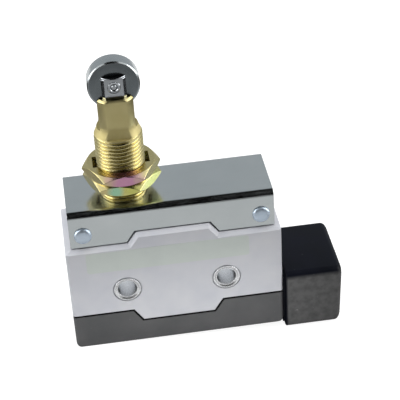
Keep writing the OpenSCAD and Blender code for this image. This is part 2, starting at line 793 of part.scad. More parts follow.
// One contact button with its base on the XY plane
module contact_head(h) {
    r = contact_d / 2;
    rim_h = 0.6 * h;
    crown_r = 0.7 * r;
    crown_h = 0.92 * h;
    rotate_extrude() polygon([[0, 0], [r, 0], [r, rim_h], [crown_r, crown_h], [0, h]]);
}

module moving_contact() {
    color("#cfcfca") translate([contact_x, 0, blade_z]) {
        translate([0, 0, blade_t]) contact_head(contact_h);
        mirror([0, 0, 1]) contact_head(contact_h);
        cylinder(h = blade_t, d = contact_shank_d);
    }
}

// Strip of one lane from the inside drop to its screw
module lane_strip(y, top) {
    translate([0, y, 0]) difference() {
        union() {
            box([drop_x, -strip_w / 2, block_h], [strip_tip, strip_w / 2, block_h + strip_t]);
            box([drop_x, -strip_w / 2, block_h], [drop_x + strip_t, strip_w / 2, top]);
        }
        translate([screw_x, 0, block_h - over]) cylinder(h = strip_t + 2 * over, d = screw_d + 2 * fit_gap);
    }
}

module com_terminal() {
    y0 = lanes[0] - strip_w / 2;
    left = 2 * wall_gap - inner_end;
    post_x = blade_root - 3 * fit_gap;
    ear_y = blade_w / 2;
    ear_w = 0.8;
    ear_h = 1.2;
    color("#c9a45c") {
        lane_strip(lanes[0], com_z);
        box([left, y0, strip_z], [drop_x + strip_t, y0 + strip_t, com_z]);
        box([left, y0, com_z], [pivot_x, ear_y, com_z + strip_t]);
        difference() {
            box([post_x, -ear_y, com_z], [post_x + strip_t, ear_y, blade_z + blade_t + ear_h]);
            box([post_x - over, -ear_y + ear_w, com_z + strip_t],
                [post_x + strip_t + over, ear_y - ear_w, blade_z + blade_t + fit_gap]);
        }
    }
}

module no_terminal() {
    left = contact_x - contact_seat;
    color("#c9a45c") difference() {
        union() {
            lane_strip(lanes[1], strip_z + strip_t);
            box([left, -strip_w / 2, strip_z], [drop_x + strip_t, strip_w / 2, strip_z + strip_t]);
        }
        translate([contact_x, 0, strip_z - over]) cylinder(h = strip_t + 2 * over, d = contact_shank_d);
    }
}

module nc_terminal() {
    y1 = lanes[2] + strip_w / 2;
    left = contact_x - contact_seat;
    right = contact_x + contact_seat;
    color("#c9a45c") difference() {
        union() {
            lane_strip(lanes[2], com_z);
            box([left, y1 - strip_t, strip_z], [drop_x + strip_t, y1, com_z]);
            box([left, y1 - strip_t, strip_z], [right, y1, nc_z + strip_t]);
            box([left, -strip_w / 2, nc_z], [right, y1, nc_z + strip_t]);
        }
        translate([contact_x, 0, nc_z - over]) cylinder(h = strip_t + 2 * over, d = contact_shank_d);
    }
}

module no_contact() {
    color("#cfcfca") translate([contact_x, 0, strip_z]) {
        cylinder(h = strip_t, d = contact_shank_d);
        translate([0, 0, strip_t]) contact_head(no_top - strip_z - strip_t);
    }
}

module nc_contact() {
    color("#cfcfca") translate([contact_x, 0, nc_z]) {
        cylinder(h = strip_t, d = contact_shank_d);
        mirror([0, 0, 1]) contact_head(contact_h);
    }
}

module terminal_screws() {
    z = block_h + strip_t + washer_t;
    slot = 0.7;
    color("#c2c6c8") for (y = lanes) translate([screw_x, y, z]) difference() {
        union() {
            cylinder(h = screw_head_h, d = screw_head_d);
            translate([0, 0, -screw_len]) cylinder(h = screw_len, d = screw_d);
        }
        box([-screw_head_d, -slot / 2, screw_head_h - slot], [screw_head_d, slot / 2, screw_head_h + over]);
    }
}

module terminal_washers() {
    color("#b8a45a") for (y = lanes) translate([screw_x, y, block_h + strip_t]) difference() {
        cylinder(h = washer_t, d = screw_head_d - 2 * fit_gap);
        translate([0, 0, -over]) cylinder(h = washer_t + 2 * over, d = screw_d + 2 * fit_gap);
    }
}

module terminal_boot() {
    room_z = block_z - fit_gap;
    color("#26272b") difference() {
        union() {
            soft_box([boot_x1, -boot_y, -boot_drop], [boot_x2, boot_y, boot_top], boot_r);
            box([boot_x0, -boot_y + neck_recess, -boot_drop + neck_recess],
                [boot_x1 + boot_r, boot_y - neck_recess, boot_top - neck_recess]);
        }
        box([boot_x0 - over, -boot_room_y, room_z],
            [boot_x2 - boot_wall, boot_room_y, boot_top - boot_wall]);
        translate([boot_x2 - boot_wall - over, 0, cable_z]) rotate([0, 90, 0])
            cylinder(h = boot_wall + 2 * over, d = cable_d);
    }
}

base();
body_shell();
base_packing();
top_cover();
cover_rivets();
mounting_eyelets();
bushing();
lower_lock_nut();
upper_lock_nut();
plunger();
roller();
roller_axle();
return_spring();
spring_seat();
overtravel_spring();
push_rod();
rod_retainer();
rod_seal();
switch_button();
moving_blade();
moving_contact();
com_terminal();
no_terminal();
nc_terminal();
no_contact();
nc_contact();
terminal_screws();
terminal_washers();
terminal_boot();
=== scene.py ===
"""Looks of a roller plunger limit switch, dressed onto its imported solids.

Shapes are worked out in millimetres, and MM turns them to metres as a mesh is made. X runs along
the housing to the terminal boot, Y from the front face to the rear face, Z up along the plunger.
"""
import json
import math

import bmesh
import bpy
import numpy as np
from mathutils import Matrix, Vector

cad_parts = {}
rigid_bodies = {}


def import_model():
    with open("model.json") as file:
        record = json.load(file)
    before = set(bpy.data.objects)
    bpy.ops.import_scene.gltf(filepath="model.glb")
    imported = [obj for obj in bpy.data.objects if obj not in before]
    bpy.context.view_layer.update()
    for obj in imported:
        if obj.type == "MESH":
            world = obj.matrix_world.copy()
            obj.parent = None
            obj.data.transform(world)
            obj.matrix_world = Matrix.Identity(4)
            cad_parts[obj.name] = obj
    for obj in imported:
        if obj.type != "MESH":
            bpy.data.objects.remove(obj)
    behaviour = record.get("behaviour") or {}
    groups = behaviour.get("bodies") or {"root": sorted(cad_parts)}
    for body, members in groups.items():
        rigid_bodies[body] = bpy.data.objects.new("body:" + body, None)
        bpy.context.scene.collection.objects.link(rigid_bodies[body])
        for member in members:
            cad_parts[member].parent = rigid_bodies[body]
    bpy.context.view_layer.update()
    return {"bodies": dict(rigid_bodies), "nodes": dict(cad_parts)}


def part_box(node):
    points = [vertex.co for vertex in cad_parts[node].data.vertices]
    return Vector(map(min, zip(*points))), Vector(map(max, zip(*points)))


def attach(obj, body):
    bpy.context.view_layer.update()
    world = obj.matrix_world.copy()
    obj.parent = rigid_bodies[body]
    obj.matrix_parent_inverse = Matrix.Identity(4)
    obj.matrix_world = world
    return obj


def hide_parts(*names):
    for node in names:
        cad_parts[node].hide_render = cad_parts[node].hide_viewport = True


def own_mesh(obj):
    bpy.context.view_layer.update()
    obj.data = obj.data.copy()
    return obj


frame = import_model()

MM = 0.001
# Corners that lie nearer than this, in millimetres, become one
MERGE = 0.0005
# Sockets of a Mix node that mixes colours
MIX_FACTOR, MIX_A, MIX_B, MIX_COLOUR = 0, 6, 7, 2
# Scales that stretch a pattern to ten times its size along one direction
ALONG_X, ALONG_Y, ALONG_Z = (0.1, 1, 1), (1, 0.1, 1), (1, 1, 0.1)


def span(node):
    """Lowest and highest corner of a solid, in millimetres."""
    low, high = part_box(node)
    return np.array(low) / MM, np.array(high) / MM


# Places that the pieces share, read off the solids
face_y = span("body_shell")[1][1]
base_low = span("base")[0]
cover_high = span("top_cover")[1]
bushing_low, bushing_high = span("bushing")
axis_x = (bushing_low[0] + bushing_high[0]) / 2
roller_low, roller_high = span("roller")
axle_z = (roller_low[2] + roller_high[2]) / 2
roller_r = (roller_high[2] - roller_low[2]) / 2
boot_low, boot_high = span("terminal_boot")
# Heights on the bushing where its thread ends and its brighter neck starts
thread_top, neck_foot = 56.9, 59.9


# Shapes

def quads(rows, columns, loop_rows, loop_columns):
    """Corner numbers of a grid's cells. A looped direction closes on itself."""
    index = np.arange(rows * columns).reshape(rows, columns)
    if loop_columns:
        index = np.hstack([index, index[:, :1]])
    if loop_rows:
        index = np.vstack([index, index[:1]])
    cells = [index[:-1, :-1], index[1:, :-1], index[1:, 1:], index[:-1, 1:]]
    return np.stack(cells, axis=-1).reshape(-1, 4)


def eased(corners, radius, steps):
    """Closed outline whose corners become parabolas: each starts and ends radius away from the
    corner, which is its middle control point. A radius of 0 keeps the corner."""
    corners = np.asarray(corners, float)
    radius = np.asarray(radius, float)[:, None]
    before = np.roll(corners, 1, axis=0) - corners
    after = np.roll(corners, -1, axis=0) - corners
    start = corners + radius * before / np.linalg.norm(before, axis=1, keepdims=True)
    end = corners + radius * after / np.linalg.norm(after, axis=1, keepdims=True)
    t = np.linspace(0, 1, steps)[None, :, None]
    arcs = (1 - t) ** 2 * start[:, None] + 2 * t * (1 - t) * corners[:, None]
    arcs = arcs + t ** 2 * end[:, None]
    return arcs.reshape(-1, 2)


def turned_y(profile, x, z, steps=96):
    """Turned surface about an axis along Y through x and z: each row of the profile, a distance
    from the axis and a place along it, becomes a circle."""
    angle = np.linspace(0, 2 * np.pi, steps, endpoint=False)[None, :]
    r, along = profile[:, :1], profile[:, 1:]
    return np.stack([x + r * np.cos(angle), along + 0 * angle, z + r * np.sin(angle)], axis=-1)


def rounded_rings(half_y, half_z, corner, steps=10):
    """Rounded rectangles, one per entry of the arrays: four quarter circles of radius corner
    about the points that lie corner inside half_y and half_z. Gives Y and Z, rings by points."""
    quarter = np.repeat(np.arange(4), steps)
    angle = (quarter + np.tile(np.linspace(0, 1, steps), 4)) * np.pi / 2
    middle = (quarter + 0.5) * np.pi / 2
    corner = corner[:, None]
    y = np.sign(np.cos(middle)) * (half_y[:, None] - corner) + corner * np.cos(angle)
    z = np.sign(np.sin(middle)) * (half_z[:, None] - corner) + corner * np.sin(angle)
    return y, z


def arc_above(y, radius, steps=60):
    """Angles of the part of a circle that lies above y, from its right end to its left end."""
    start = np.arcsin(y / radius)
    return start + np.linspace(0, 1, steps) * (np.pi - 2 * start)


def standing(outer, inner, level, side):
    """Body that stands on one side of the plunger's axis: between an outer and an inner outline,
    rows by points by X and Y about the axis, each row at its level. The first and the last row
    close on the line midway."""
    closing = np.zeros((len(level), 1, 1))
    closing[[0, -1]] = 1
    middle = (outer + inner) / 2
    outer = outer + closing * (middle - outer)
    inner = inner + closing * (middle - inner)
    ring = np.concatenate([outer, inner[:, ::-1], outer[:, :1]], axis=1)
    x, y = axis_x + ring[..., 0], side * ring[..., 1]
    return np.stack([x, y, level[:, None] + 0 * x], axis=-1)


def put(name, data):
    """New object at the origin of the scene."""
    made = bpy.data.objects.new(name, data)
    bpy.context.scene.collection.objects.link(made)
    return made


def settle(name, mesh, body, finish, stands_for, sharp):
    """Puts a mesh into the scene as a piece of the object: merged, facing outward, smooth up to
    the sharp angle."""
    solid = bmesh.new()
    solid.from_mesh(mesh)
    bmesh.ops.remove_doubles(solid, verts=solid.verts, dist=MERGE * MM)
    loose = [edge for edge in solid.edges if edge.is_wire]
    bmesh.ops.delete(solid, geom=loose, context="EDGES")
    bmesh.ops.recalc_face_normals(solid, faces=solid.faces)
    solid.to_mesh(mesh)
    solid.free()
    mesh.materials.clear()
    mesh.materials.append(finish)
    mesh.shade_smooth()
    mesh.set_sharp_from_angle(angle=math.radians(sharp))
    made = put(name, mesh)
    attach(made, body)
    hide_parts(*stands_for)
    return made


def piece(name, grids, body, finish, stands_for, sharp, loop_rows=True, loop_columns=True):
    """Piece made of surfaces that close where they meet, each a grid of points in millimetres,
    rows by columns by X, Y and Z."""
    starts = np.cumsum([0] + [grid.shape[0] * grid.shape[1] for grid in grids])
    points = np.concatenate([grid.reshape(-1, 3) for grid in grids]) * MM
    cells = np.concatenate([
        quads(*grid.shape[:2], loop_rows, loop_columns) + start
        for grid, start in zip(grids, starts)])
    mesh = bpy.data.meshes.new(name)
    mesh.from_pydata(points, [], cells)
    return settle(name, mesh, body, finish, stands_for, sharp)


def softened(node, finish, width):
    """Copy of a solid with merged corners and joined flat faces, the broad ones shaded flat,
    whose edges a Bevel rounds over width. Angles are in degrees, the area in square millimetres."""
    segments, sharp, level, broad = 3, 30, 0.3, 15
    source = frame["nodes"][node]
    body = next(name for name, empty in frame["bodies"].items() if empty == source.parent)
    mesh = source.data.copy()
    flat = bmesh.new()
    flat.from_mesh(mesh)
    bmesh.ops.remove_doubles(flat, verts=flat.verts, dist=MERGE * MM)
    bmesh.ops.dissolve_limit(
        flat, angle_limit=math.radians(level), verts=flat.verts, edges=flat.edges)
    flat.to_mesh(mesh)
    flat.free()
    made = settle(node + "_finished", mesh, body, finish, [node], sharp)
    area = np.empty(len(mesh.polygons), np.float32)
    mesh.polygons.foreach_get("area", area)
    mesh.polygons.foreach_set("use_smooth", area < broad * MM ** 2)
    bevel = made.modifiers.new("edges", "BEVEL")
    bevel.width = width * MM
    bevel.segments = segments
    bevel.limit_method = "ANGLE"
    bevel.angle_limit = math.radians(sharp)
    bevel.harden_normals = True


# Finishes

def linear(code):
    """Linear colour of an sRGB hex code."""
    value = np.array([int(code[i:i + 2], 16) for i in (0, 2, 4)]) / 255
    value = np.where(value <= 0.04045, value / 12.92, ((value + 0.055) / 1.055) ** 2.4)
    return (*value, 1.0)


def per_mm(size):
    """Texture scale, in repeats to the metre, for marks of a size in millimetres."""
    return 1 / (size * MM)


def fill(tree, made, inputs):
    """Sets the inputs of a shader node to values, or links them to other nodes' outputs."""
    for key, value in inputs.items():
        if isinstance(value, bpy.types.NodeSocket):
            tree.links.new(value, made.inputs[key])
        else:
            made.inputs[key].default_value = value


def add(tree, kind, inputs=(), **settings):
    """Adds a shader node with its settings and inputs."""
    made = tree.nodes.new("ShaderNode" + kind)
    for key, value in settings.items():
        setattr(made, key, value)
    fill(tree, made, dict(inputs))
    return made


def start_material(name):
    """New material and its tree, still empty."""
    material = bpy.data.materials.new(name)
    material.use_nodes = True
    material.node_tree.nodes.clear()
    return material, material.node_tree


def start_finish(name):
    """New material with its surface shader. Gives it, its tree, the shader and the place on the
    piece."""
    material, tree = start_material(name)
    shader = add(tree, "BsdfPrincipled")
    add(tree, "OutputMaterial", {"Surface": shader.outputs[0]})
    return material, tree, shader, add(tree, "TexCoord").outputs["Object"]


def painted_side_sheen(tree, place, colour, height, start, shade):
    """Colour of rubber with a painted sheen: below a height and beyond a place along X, both in
    millimetres, it is painted greyer, in mottles, for the sheen that light lays on the sides."""
    mottle, fade_z, fade_x, faintest = 1.8, 0.6, 0.5, 0.68
    apart = add(tree, "SeparateXYZ", {0: place})
    below = add(tree, "MapRange", {
        "Value": apart.outputs["Z"], "From Min": (height - fade_z) * MM,
        "From Max": (height + fade_z) * MM, "To Min": 1.0, "To Max": 0.0})
    beyond = add(tree, "MapRange", {
        "Value": apart.outputs["X"], "From Min": start * MM, "From Max": (start + fade_x) * MM})
    cloud = add(tree, "TexNoise", {"Vector": place, "Scale": per_mm(mottle), "Detail": 7.0})
    sheen_mottles = add(tree, "MapRange", {
        "Value": cloud.outputs[0], "From Min": 0.3, "From Max": 0.6, "To Min": faintest,
        "To Max": 1.0})
    there = add(
        tree, "Math", {0: below.outputs[0], 1: beyond.outputs[0]}, operation="MULTIPLY")
    share = add(tree, "Math", {0: there.outputs[0], 1: sheen_mottles.outputs[0]}, operation="MULTIPLY")
    return add(
        tree, "Mix", {MIX_FACTOR: share.outputs[0], MIX_A: colour, MIX_B: linear(shade)},
        data_type="RGBA").outputs[MIX_COLOUR]


def moulded(name, dark, light, roughness, grain, depth, dust=0.0, side_sheen=None, gleam=0.5):
    """Moulded plastic or rubber: a slow cloudiness from the flow in the mould, a fine even grain
    that breaks up its reflections, and a share of pale dust in specks. A side sheen is the height,
    the place along X and the colour of a painted sheen: a greyer shade painted on the sides, below
    the top, for the light that falls on them. A real mould's grain and dust are finer, and are
    drawn as coarse as they need to show."""
    flow, speck, dust_shade, swing = 7, 0.6, "b0b0ae", 0.06
    material, tree, shader, place = start_finish(name)
    cloud = add(tree, "TexNoise", {"Vector": place, "Scale": per_mm(flow), "Detail": 5.0})
    patch = add(tree, "MapRange", {
        "Value": cloud.outputs[0], "From Min": 0.3, "From Max": 0.7}).outputs[0]
    colour = add(
        tree, "Mix", {MIX_FACTOR: patch, MIX_A: linear(dark), MIX_B: linear(light)},
        data_type="RGBA").outputs[MIX_COLOUR]
    # Painted sheen: the sides are painted greyer than the top, for the light that falls on them
    if side_sheen:
        colour = painted_side_sheen(tree, place, colour, *side_sheen)
    grit = add(tree, "TexNoise", {"Vector": place, "Scale": per_mm(speck), "Detail": 1.0})
    share = add(tree, "MapRange", {
        "Value": grit.outputs[0], "From Min": 0.78, "From Max": 0.83, "To Max": dust})
    dusty = add(
        tree, "Mix", {MIX_FACTOR: share.outputs[0], MIX_A: colour, MIX_B: linear(dust_shade)},
        data_type="RGBA").outputs[MIX_COLOUR]
    gloss = add(tree, "MapRange", {
        "Value": patch, "To Min": roughness - swing, "To Max": roughness + swing})
    fine = add(tree, "TexNoise", {"Vector": place, "Scale": per_mm(grain), "Detail": 2.0})
    bump = add(tree, "Bump", {
        "Height": fine.outputs[0], "Strength": 0.5, "Distance": depth * MM})
    fill(tree, shader, {
        "Base Color": dusty, "Roughness": gloss.outputs[0], "IOR": 1.5,
        "Specular IOR Level": gleam, "Normal": bump.outputs[0]})
    return material


def metal(name, dark, light, roughness, grain, stretch=(1, 1, 1), blotch=8, depth=0.004):
    """Bare or plated metal: blotches of a slightly different shade, and a grain that is stretched
    along the way the metal was rolled, drawn or ground and shows in its gloss. A real grain is
    finer, and is drawn as coarse as it needs to show."""
    swing = 0.25
    material, tree, shader, place = start_finish(name)
    cloud = add(tree, "TexNoise", {"Vector": place, "Scale": per_mm(blotch), "Detail": 5.0})
    colour = add(
        tree, "Mix", {MIX_FACTOR: cloud.outputs[0], MIX_A: linear(dark), MIX_B: linear(light)},
        data_type="RGBA").outputs[MIX_COLOUR]
    drawn = add(tree, "Mapping", {"Vector": place, "Scale": stretch}).outputs[0]
    fine = add(tree, "TexNoise", {
        "Vector": drawn, "Scale": per_mm(grain), "Detail": 3.0}).outputs[0]
    gloss = add(tree, "MapRange", {
        "Value": fine, "From Min": 0.3, "From Max": 0.7, "To Min": roughness * (1 - swing),
        "To Max": roughness * (1 + swing)})
    bump = add(tree, "Bump", {"Height": fine, "Strength": 0.4, "Distance": depth * MM})
    fill(tree, shader, {
        "Base Color": colour, "Metallic": 1.0, "Roughness": gloss.outputs[0],
        "Normal": bump.outputs[0]})
    return material


def passivated(name, patches, satin=()):
    """Zinc with yellow chromate passivation: a straw gold film, which runs thicker or thinner over
    patches some millimetres across and turns pink or green there. A patch is its middle, its reach
    and its colour. The turned surface under the film is duller or brighter from each height of
    satin on, by the change that goes with it."""
    thick, thin, cloud, grain, depth = "bcb07a", "d3c895", 5, 1.2, 0.01
    full, gone, strength, fade = 0.8, 1.5, 0.9, 0.6
    material, tree, shader, place = start_finish(name)
    slow = add(tree, "TexNoise", {
        "Vector": place, "Scale": per_mm(cloud), "Detail": 2.0}).outputs[0]
    colour = add(
        tree, "Mix", {MIX_FACTOR: slow, MIX_A: linear(thick), MIX_B: linear(thin)},
        data_type="RGBA").outputs[MIX_COLOUR]
    for middle, reach, shade in patches:
        away = add(
            tree, "VectorMath", {0: place, 1: np.array(middle) * MM},
            operation="DISTANCE").outputs["Value"]
        ragged = add(tree, "Math", {0: slow, 1: reach * MM, 2: away}, operation="MULTIPLY_ADD")
        share = add(tree, "MapRange", {
            "Value": ragged.outputs[0], "From Min": full * reach * MM,
            "From Max": gone * reach * MM, "To Min": strength, "To Max": 0.0})
        colour = add(
            tree, "Mix", {MIX_FACTOR: share.outputs[0], MIX_A: colour, MIX_B: linear(shade)},
            data_type="RGBA").outputs[MIX_COLOUR]
    fine = add(tree, "TexNoise", {
        "Vector": place, "Scale": per_mm(grain), "Detail": 3.0}).outputs[0]
    gloss = add(tree, "MapRange", {
        "Value": fine, "From Min": 0.3, "From Max": 0.7, "To Min": 0.2, "To Max": 0.28}).outputs[0]
    up = add(tree, "SeparateXYZ", {0: place}).outputs["Z"]
    for height, change in satin:
        duller = add(tree, "MapRange", {
            "Value": up, "From Min": height * MM, "From Max": (height + fade) * MM,
            "To Max": change})
        gloss = add(tree, "Math", {0: gloss, 1: duller.outputs[0]}, operation="ADD").outputs[0]
    bump = add(tree, "Bump", {"Height": fine, "Strength": 0.15, "Distance": depth * MM})
    fill(tree, shader, {
        "Base Color": colour, "Metallic": 1.0, "Roughness": gloss, "Normal": bump.outputs[0]})
    return material


def rolled_eyelet(name):
    """Plated eyelet: drawing lines along its bore, and a little less bright where its mouths were
    rolled. The mouths end between two depths under the housing's faces."""
    deep, shallow, line = 1.5, 0.8, 0.7
    material, tree, shader, place = start_finish(name)
    apart = add(tree, "SeparateXYZ", {0: place})
    out = add(tree, "Math", {0: apart.outputs["Y"]}, operation="ABSOLUTE")
    mouth = add(tree, "MapRange", {
        "Value": out.outputs[0], "From Min": (face_y - deep) * MM,
        "From Max": (face_y - shallow) * MM}).outputs[0]
    drawn = add(tree, "Mapping", {"Vector": place, "Scale": ALONG_Y}).outputs[0]
    lines = add(tree, "TexNoise", {"Vector": drawn, "Scale": per_mm(line), "Detail": 4.0})
    colour = add(
        tree, "Mix", {
            MIX_FACTOR: lines.outputs[0], MIX_A: linear("eceef1"), MIX_B: linear("f8f9fa")},
        data_type="RGBA").outputs[MIX_COLOUR]
    bare = add(tree, "MapRange", {"Value": mouth, "To Min": 0.95, "To Max": 0.9})
    gloss = add(tree, "MapRange", {"Value": mouth, "To Min": 0.22, "To Max": 0.26})
    fill(tree, shader, {
        "Base Color": colour, "Metallic": bare.outputs[0], "Roughness": gloss.outputs[0]})
    return material


def ground_roller(name):
    """Hardened roller: dark oxide on its two faces, with turning rings, and a rim ground bright
    that starts within a band inside its edge."""
    band_in, band_out, ring, cloud, depth = 0.5, 0.3, 0.35, 4, 0.01
    material, tree, shader, place = start_finish(name)
    middle = (axis_x * MM, 0, axle_z * MM)
    about = add(tree, "VectorMath", {0: place, 1: middle}, operation="SUBTRACT").outputs[0]
    flat = add(tree, "VectorMath", {0: about, 1: (1, 0, 1)}, operation="MULTIPLY").outputs[0]
    radius = add(tree, "VectorMath", {0: flat}, operation="LENGTH").outputs["Value"]
    rim = add(tree, "MapRange", {
        "Value": radius, "From Min": (roller_r - band_in) * MM,
        "From Max": (roller_r - band_out) * MM})
    rings = add(
        tree, "TexNoise", {"W": radius, "Scale": per_mm(ring), "Detail": 3.0},
        noise_dimensions="1D").outputs[0]
    patch = add(tree, "TexNoise", {"Vector": place, "Scale": per_mm(cloud), "Detail": 4.0})
    oxide = add(
        tree, "Mix", {
            MIX_FACTOR: patch.outputs[0], MIX_A: linear("666c6f"), MIX_B: linear("868d90")},
        data_type="RGBA").outputs[MIX_COLOUR]
    colour = add(
        tree, "Mix", {MIX_FACTOR: rim.outputs[0], MIX_A: oxide, MIX_B: linear("b4babc")},
        data_type="RGBA").outputs[MIX_COLOUR]
    gloss = add(tree, "MapRange", {"Value": rings, "To Min": 0.16, "To Max": 0.28})
    bump = add(tree, "Bump", {"Height": rings, "Strength": 0.25, "Distance": depth * MM})
    fill(tree, shader, {
        "Base Color": colour, "Metallic": 1.0, "Roughness": gloss.outputs[0],
        "Normal": bump.outputs[0]})
    return material


# Moulded phenolic: dark grey and half matt from the mould's grain, with a little dust on it
phenolic = moulded(
    "moulded_black_phenolic", "48494a", "535354", roughness=0.4, grain=0.3, depth=0.015, dust=0.25)
# Moulded polyester: pale cool grey, faintly clouded by its flow, with a soft satin gleam
polyester = moulded(
    "moulded_grey_polyester", "b6b8bf", "c0c1c5", roughness=0.36, grain=0.35, depth=0.008)
# Moulded rubber: nearly black and matt. On the packing it also stands in for the shade in the
# seam between base and body, as painted shade, so that the seam reads as a dark line
rubber = moulded(
    "black_rubber_and_seam_shade", "060607", "0b0b0c", roughness=0.6, grain=0.25, depth=0.02, gleam=0.2)
# Rubber with a painted sheen: the top stays blue-black, and the sides are painted a dull mottled
# grey for the sheen that light lays on them, with dust. The painted sheen starts a little under
# the top and a little way from the mouth
boot_painted_sheen = (boot_high[2] - 1.4, boot_low[0] + 0.8, "585858")
sheen_painted_rubber = moulded(
    "black_rubber_painted_sheen", "07090f", "0c0e16", roughness=0.45, grain=0.25, depth=0.02, dust=0.4,
    side_sheen=boot_painted_sheen, gleam=0.1)
# Rolled sheet, bright zinc: a cool mirror, blurred a little along the way it was rolled
zinc_sheet = metal(
    "bright_zinc_rolled_sheet", "bcc3c4", "cdd2d3", roughness=0.2, grain=0.5, stretch=ALONG_X,
    blotch=10, depth=0.0008)
# Headed rivet, bright zinc: bluer and duller than the sheet, so its head shades softly
zinc_rivet = metal(
    "bright_zinc_headed_rivet", "c6d6e6", "d6e2ee", roughness=0.46, grain=0.4, depth=0.012)
# Rolled eyelet, nickel plated: near white, with bright rings round a darker bore
nickel = rolled_eyelet("nickel_plated_rolled_eyelet")
# Ground steel: hard bright reflections, streaked along the plunger
steel = metal(
    "ground_steel_plunger", "b0b5b9", "c0c4c8", roughness=0.18, grain=0.3, stretch=ALONG_Z,
    depth=0.002)
# Oil-tempered wire: dark grey with a soft gleam
wire = metal("oil_tempered_spring_wire", "6d6f72", "84878a", roughness=0.3, grain=0.3)
# Rolled brass: warm yellow, streaked along the strip
brass = metal(
    "rolled_brass_strip", "b3944f", "c7a964", roughness=0.3, grain=0.4, stretch=ALONG_X)
# Rolled beryllium copper: reddish and half bright, streaked along the blade
copper = metal(
    "rolled_beryllium_copper", "b9855a", "c9986c", roughness=0.3, grain=0.3, stretch=ALONG_X)
# Pressed silver: warm white with a satin face
silver = metal("pressed_silver_contact", "c9c8c4", "dcdbd7", roughness=0.35, grain=0.3)
# Moulded melamine: plain brick red with a satin gleam
melamine = moulded(
    "moulded_red_melamine", "8f2a22", "a3352b", roughness=0.4, grain=0.3, depth=0.01)
# Label film: matt and greenish, so that it stands out from the cooler body
film = moulded("matt_label_film", "b4bbb7", "bbc2bd", roughness=0.5, grain=0.5, depth=0.004)
# Yellow zinc: straw gold mirrors; the shoulder is duller, and the nuts' faces turn pink and green
nut_y = span("upper_lock_nut")[0][1]
upper_z = np.mean([corner[2] for corner in span("upper_lock_nut")])
lower_z = np.mean([corner[2] for corner in span("lower_lock_nut")])
gold_bushing = passivated(
    "yellow_zinc_turned_bushing", [], [(thread_top, 0.42), (neck_foot, -0.29)])
gold_upper = passivated("yellow_zinc_upper_nut", [((axis_x + 1, nut_y, upper_z), 6, "c48cb0")])
gold_lower = passivated("yellow_zinc_lower_nut", [
    ((axis_x + 8, nut_y + 3, lower_z), 7, "c6ca82"),
    ((axis_x + 1.5, nut_y, lower_z), 3.5, "c6c76e"),
    ((axis_x - 2.2, nut_y, lower_z), 2.4, "9acbae")])
# Hardened steel: smoky grey faces with faint rings, and a bright ground rim
roller_steel = ground_roller("hardened_roller_steel")

# Solids that stay as they are and only get a finish
# The packing's near-black rubber also paints the shade in the seam between base and body
PLAIN = {
    "base_packing": rubber, "spring_seat": steel, "push_rod": steel, "rod_retainer": steel,
    "rod_seal": rubber, "switch_button": melamine, "moving_blade": copper,
    "moving_contact": silver, "com_terminal": brass, "no_terminal": brass, "nc_terminal": brass,
    "no_contact": silver, "nc_contact": silver, "terminal_screws": zinc_rivet,
    "terminal_washers": zinc_rivet}
for node, finish in PLAIN.items():
    for holder in frame["nodes"][node].material_slots:
        holder.material = finish


# Housing

softened("body_shell", polyester, 0.12)
softened("base", phenolic, 0.1)
softened("top_cover", zinc_sheet, 0.15)


def label():
    """Bare label on the front face: rings of a rounded rectangle drawn in to its middle, front
    and back."""
    low, high = np.array([-22.3, 23.0]), np.array([18.8, 29.0])
    thickness, corner = 0.06, 0.7
    middle, half = (low + high) / 2, (high - low) / 2
    share = np.array([0, 1, 1, 0])
    y = -face_y - thickness * np.array([1, 1, 0, 0])
    x, z = rounded_rings(share * half[0], share * half[1], share * corner)
    grid = np.stack([middle[0] + x, y[:, None] + 0 * x, middle[1] + z], axis=-1)
    piece("front_label", [grid], "housing", film, (), sharp=35,
        loop_rows=False)


label()


def rivets():
    """Cover rivets: shank and two heads, each a superellipse of the third power, which is nearly
    flat in its middle and turns down at its rim."""
    low, high = span("cover_rivets")
    flange = cover_high[1]
    rise = high[1] - flange
    rim = (high[2] - low[2]) / 2
    power = 2 / 3
    swing = np.linspace(0, np.pi / 2, 20)
    head = np.stack([
        rim * np.sin(swing) ** power, flange + rise * np.cos(swing) ** power], axis=-1)
    profile = np.concatenate([head, head[::-1] * (1, -1)])
    place_x, place_z = high[0] - rim, (low[2] + high[2]) / 2
    grids = [turned_y(profile, side * place_x, place_z) for side in (-1, 1)]
    piece(
        "cover_rivet_pair", grids, "housing", zinc_rivet, ["cover_rivets"],
        sharp=60, loop_rows=False)


rivets()


def eyelets():
    """Mounting eyelets: a tube that ends in a flat step inside each mouth, a flat cone from there
    out to a thin rim, and a shadow gap between the rim and its recess in the housing."""
    low, high = span("mounting_eyelets")
    recess = (high[2] - low[2]) / 2
    place_x, place_z = high[0] - recess, (low[2] + high[2]) / 2
    wall, proud, bore, gap = 0.5, 0.1, 2.45, 0.15
    step_r, step_depth, mouth = 2.64, 0.18, 3.14
    rim, end, step = recess - gap, face_y + proud, face_y - step_depth
    front = [
        (bore, -step), (step_r, -step), (mouth, -end), (rim, -end),
        (rim, wall - face_y), (bore + wall, wall - face_y)]
    corners = front + [(radius, -y) for radius, y in reversed(front)]
    edges = [0.06, 0.05, 0.12, 0.12, 0, 0]
    profile = eased(corners, edges + edges[::-1], 6)
    grids = [turned_y(profile, side * place_x, place_z) for side in (-1, 1)]
    piece(
        "mounting_eyelet_pair", grids, "housing", nickel, ["mounting_eyelets"],
        sharp=40)


eyelets()


# Bushing, nuts, plunger and roller

